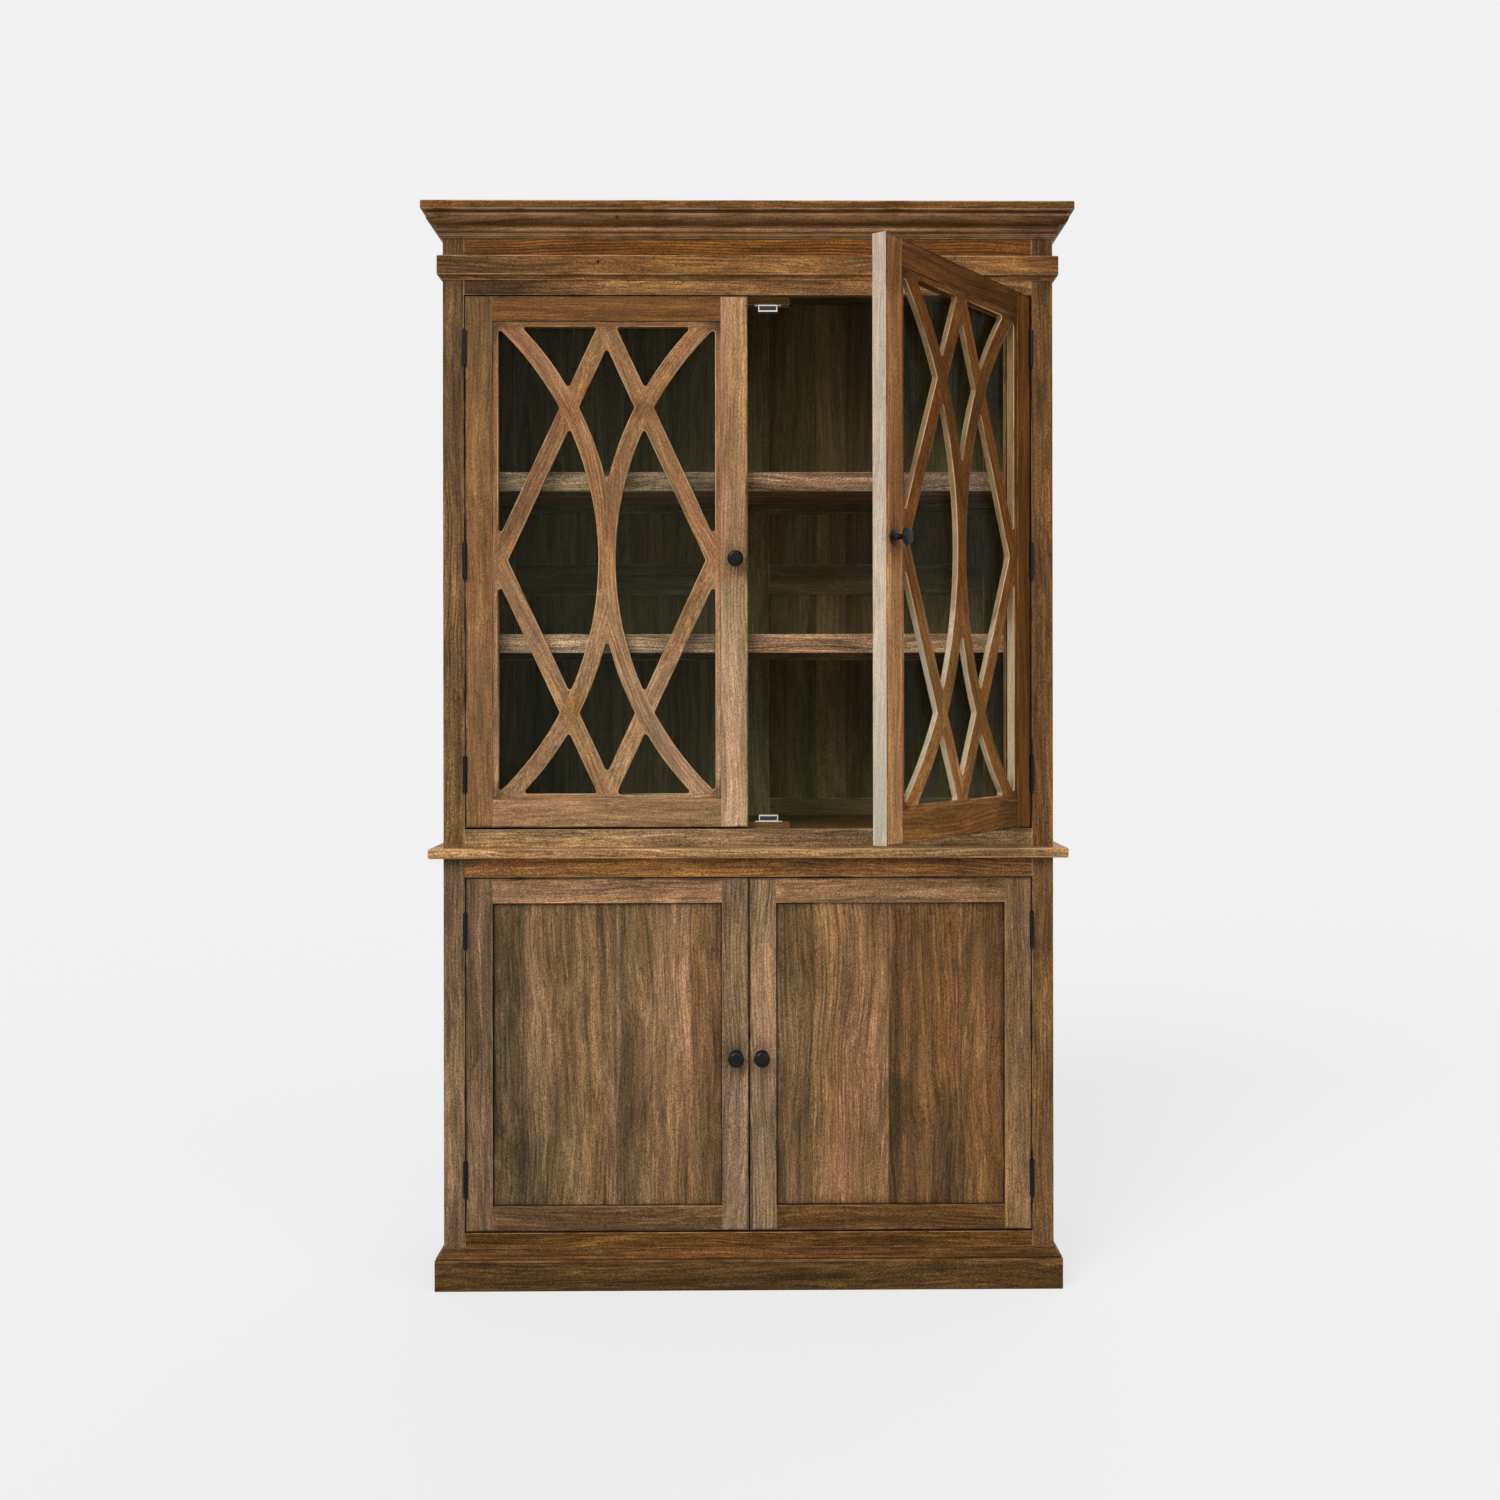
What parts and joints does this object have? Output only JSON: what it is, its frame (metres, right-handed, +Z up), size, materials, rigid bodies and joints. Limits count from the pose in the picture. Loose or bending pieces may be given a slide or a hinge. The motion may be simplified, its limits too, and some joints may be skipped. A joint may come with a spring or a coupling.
{
  "type": "display cabinet",
  "caption": "Tall two-part wooden display cabinet: glazed doors with a curved lattice above, panelled cupboard doors below, moulded cornice and plinth.",
  "frame": {"origin": "on the floor, at the middle of the case's width and depth", "axes": "+X to the cabinet's right as seen from the front, +Y to the back, +Z up"},
  "size_m": [1.376, 0.9532, 2.3],
  "materials": {
    "case_wood": "brown-stained hardwood with an oiled sheen",
    "moulding_wood": "brown-stained hardwood with darker hollows and worn arrises",
    "door_wood": "brown-stained hardwood, a little lighter than the case",
    "lattice_wood": "reddish brown hardwood with pale worn edges",
    "panel_wood": "glued planks of varied browns with dark streaks",
    "shelf_wood": "brown-stained hardwood",
    "inside_wood": "dark brown stain",
    "black_metal": "satin black",
    "nickel": "bright nickel plate",
    "glass": "clear float glass"
  },
  "bodies": {
    "cabinet": {"plinth_front": "moulding_wood", "plinth_returns": "moulding_wood", "plinth_bearers": "moulding_wood", "plinth_cap": "moulding_wood", "lower_sides": "case_wood", "lower_bottom_board": "inside_wood", "lower_back_panel": "inside_wood", "lower_stiles": "case_wood", "lower_rails": "case_wood", "lower_shelf": "inside_wood", "waist_slab": "moulding_wood", "upper_sides": "case_wood", "upper_bottom_board": "inside_wood", "upper_top_board": "inside_wood", "back_stiles": "inside_wood", "back_rails": "inside_wood", "back_panels": "inside_wood", "upper_stiles": "case_wood", "upper_rails": "case_wood", "frieze_board": "case_wood", "middle_shelf": "shelf_wood", "upper_shelf": "shelf_wood", "shelf_cleats": "inside_wood", "neck_moulding": "moulding_wood", "crown_moulding": "moulding_wood", "cornice_top": "moulding_wood", "catch_blocks": "case_wood", "magnetic_catches": "nickel", "hinge_frame_leaves": "black_metal", "hinge_pins": "black_metal"},
    "upper_left_door": {"upper_left_stiles": "door_wood", "upper_left_rails": "door_wood", "upper_left_lattice": "lattice_wood", "upper_left_glass": "glass", "upper_left_beads": "door_wood", "upper_left_knob": "black_metal", "upper_left_strikes": "nickel", "upper_left_hinge_leaves": "black_metal"},
    "lower_left_door": {"lower_left_stiles": "door_wood", "lower_left_rails": "door_wood", "lower_left_panel": "panel_wood", "lower_left_knob": "black_metal", "lower_left_strike": "nickel", "lower_left_hinge_leaves": "black_metal"},
    "upper_right_door": {"upper_right_stiles": "door_wood", "upper_right_rails": "door_wood", "upper_right_lattice": "lattice_wood", "upper_right_glass": "glass", "upper_right_beads": "door_wood", "upper_right_knob": "black_metal", "upper_right_strikes": "nickel", "upper_right_hinge_leaves": "black_metal"},
    "lower_right_door": {"lower_right_stiles": "door_wood", "lower_right_rails": "door_wood", "lower_right_panel": "panel_wood", "lower_right_knob": "black_metal", "lower_right_strike": "nickel", "lower_right_hinge_leaves": "black_metal"}
  },
  "joints": [
    {"name": "upper_left_hinge", "type": "hinge", "parent": "cabinet", "child": "upper_left_door", "pos_m": [-0.60175, -0.228, 1.54475], "axis": [0, 0, -1], "range_deg": [0, 170]},
    {"name": "upper_right_hinge", "type": "hinge", "parent": "cabinet", "child": "upper_right_door", "pos_m": [0.60175, -0.228, 1.54475], "axis": [0, 0, 1], "range_deg": [-55, 115]},
    {"name": "lower_left_hinge", "type": "hinge", "parent": "cabinet", "child": "lower_left_door", "pos_m": [-0.60175, -0.228, 0.49625], "axis": [0, 0, -1], "range_deg": [0, 170]},
    {"name": "lower_right_hinge", "type": "hinge", "parent": "cabinet", "child": "lower_right_door", "pos_m": [0.60175, -0.228, 0.49625], "axis": [0, 0, 1], "range_deg": [0, 170]}
  ]
}
